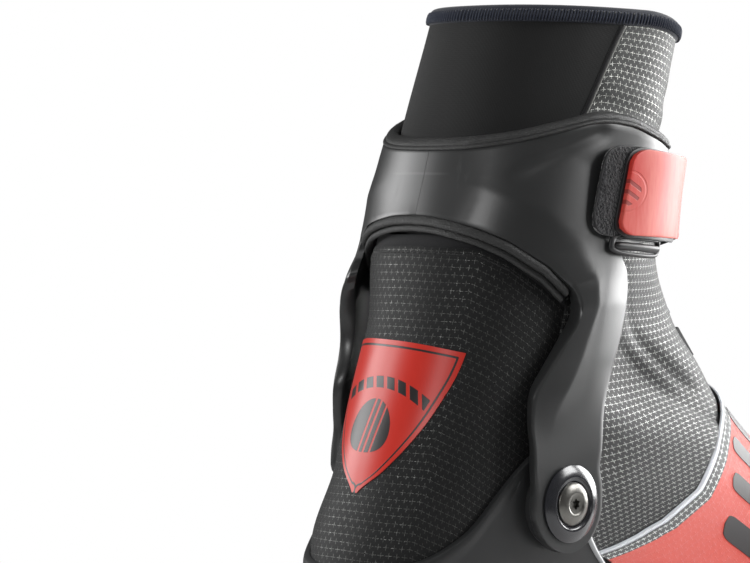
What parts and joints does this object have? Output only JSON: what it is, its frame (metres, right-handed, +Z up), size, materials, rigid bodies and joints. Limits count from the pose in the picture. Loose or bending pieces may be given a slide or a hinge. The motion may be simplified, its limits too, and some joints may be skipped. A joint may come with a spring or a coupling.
{
  "type": "cross country ski boot",
  "caption": "Skate-style cross country ski boot with a pivoting ankle cuff, red strap tab, soft collar and a heel emblem.",
  "frame": {"origin": "middle of the bounding box on the ground plane", "axes": "+X from the heel to the toe, +Y to the wearer's left (the inner side of this right boot), +Z up"},
  "size_m": [0.3032, 0.1026, 0.25],
  "materials": {
    "sole_rubber": "matt",
    "carbon_frame": "satin",
    "bar_steel": "satin",
    "housing_plastic": "matt",
    "insole_fibre": "matt",
    "footbed_foam": "matt",
    "liner_foam": "matt",
    "upper_fabric": "matt",
    "toe_rubber": "matt",
    "tongue_fabric": "matt",
    "lace_cord": "matt",
    "eyelet_metal": "satin",
    "band_red": "satin",
    "graphic_dark": "satin",
    "reflective_grey": "reflective",
    "cross_fabric": "woven, small crosses",
    "rear_fabric": "woven, small crosses",
    "emblem_red": "satin",
    "zip_fabric": "matt",
    "zip_plastic": "matt",
    "slider_metal": "satin",
    "pull_red": "satin",
    "collar_neoprene": "matt, fine knit",
    "gore_fabric": "woven, small crosses",
    "piping_black": "matt",
    "hem_fabric": "matt",
    "cuff_carbon": "satin",
    "lining_fabric": "matt",
    "padding_leather": "satin",
    "nut_steel": "satin",
    "sleeve_steel": "satin",
    "bush_nylon": "matt",
    "cap_black": "satin",
    "screw_metal": "gun metal",
    "strap_web": "matt",
    "rivet_metal": "satin",
    "tab_red": "gloss",
    "hook_black": "matt",
    "loop_pile": "brushed pile",
    "guide_plastic": "satin"
  },
  "bodies": {
    "boot": {"outsole_front": "sole_rubber", "outsole_heel": "sole_rubber", "chassis": "carbon_frame", "toe_bar": "bar_steel", "toe_bar_housing": "housing_plastic", "insole_board": "insole_fibre", "footbed": "footbed_foam", "liner_foot": "liner_foam", "liner_ankle": "liner_foam", "vamp": "upper_fabric", "quarters": "upper_fabric", "toe_cap": "toe_rubber", "rand_left": "toe_rubber", "rand_right": "toe_rubber", "tongue": "tongue_fabric", "lace": "lace_cord", "eyelets": "eyelet_metal", "instep_band_left": "band_red", "instep_band_right": "band_red", "band_graphic": "graphic_dark", "band_piping_left": "reflective_grey", "band_piping_right": "reflective_grey", "front_cover_left": "cross_fabric", "front_cover_right": "cross_fabric", "rear_panel": "rear_fabric", "heel_emblem": "emblem_red", "zip_tape": "zip_fabric", "zip_teeth": "zip_plastic", "pivot_nut_left": "nut_steel", "pivot_nut_right": "nut_steel", "pivot_sleeve_left": "sleeve_steel", "pivot_sleeve_right": "sleeve_steel", "pivot_cap_left": "cap_black", "pivot_cap_right": "cap_black", "pivot_screw_left": "screw_metal", "pivot_screw_right": "screw_metal"},
    "cuff_assembly": {"collar": "collar_neoprene", "collar_gore": "gore_fabric", "gore_piping_left": "piping_black", "gore_piping_right": "piping_black", "collar_hem": "hem_fabric", "cuff": "cuff_carbon", "cuff_lining": "lining_fabric", "cuff_rim_pad": "padding_leather", "cuff_arch_pad": "padding_leather", "pivot_bush_left": "bush_nylon", "pivot_bush_right": "bush_nylon", "strap": "strap_web", "strap_rivets": "rivet_metal", "loop_pad": "loop_pile", "strap_guide": "guide_plastic"},
    "tab": {"strap_tab": "tab_red", "strap_hooks": "hook_black"},
    "slider": {"zip_slider": "slider_metal"},
    "pull": {"zip_pull": "pull_red"}
  },
  "joints": [
    {"name": "cuff_pivot", "type": "hinge", "parent": "boot", "child": "cuff_assembly", "pos_m": [-0.0875, 0, 0.088], "axis": [0, 1, 0], "range_deg": [-4, 12], "deforming": ["liner_ankle", "rear_panel", "tongue", "front_cover_left", "front_cover_right", "heel_emblem"]},
    {"name": "tab_peel", "type": "hinge", "parent": "cuff_assembly", "child": "tab", "pos_m": [-0.02238, -0.03667, 0.18927], "axis": [0.1024, -0.0117, 0.9947], "range_deg": [0, 70]},
    {"name": "zip_slide", "type": "slide", "parent": "boot", "child": "slider", "axis": [0.6654, 0, -0.7465], "range_m": [0, 0.034]},
    {"name": "pull_swing", "type": "hinge", "parent": "slider", "child": "pull", "pos_m": [0.01172, 0, 0.14931], "axis": [0, 1, 0], "range_deg": [-100, 0]}
  ]
}
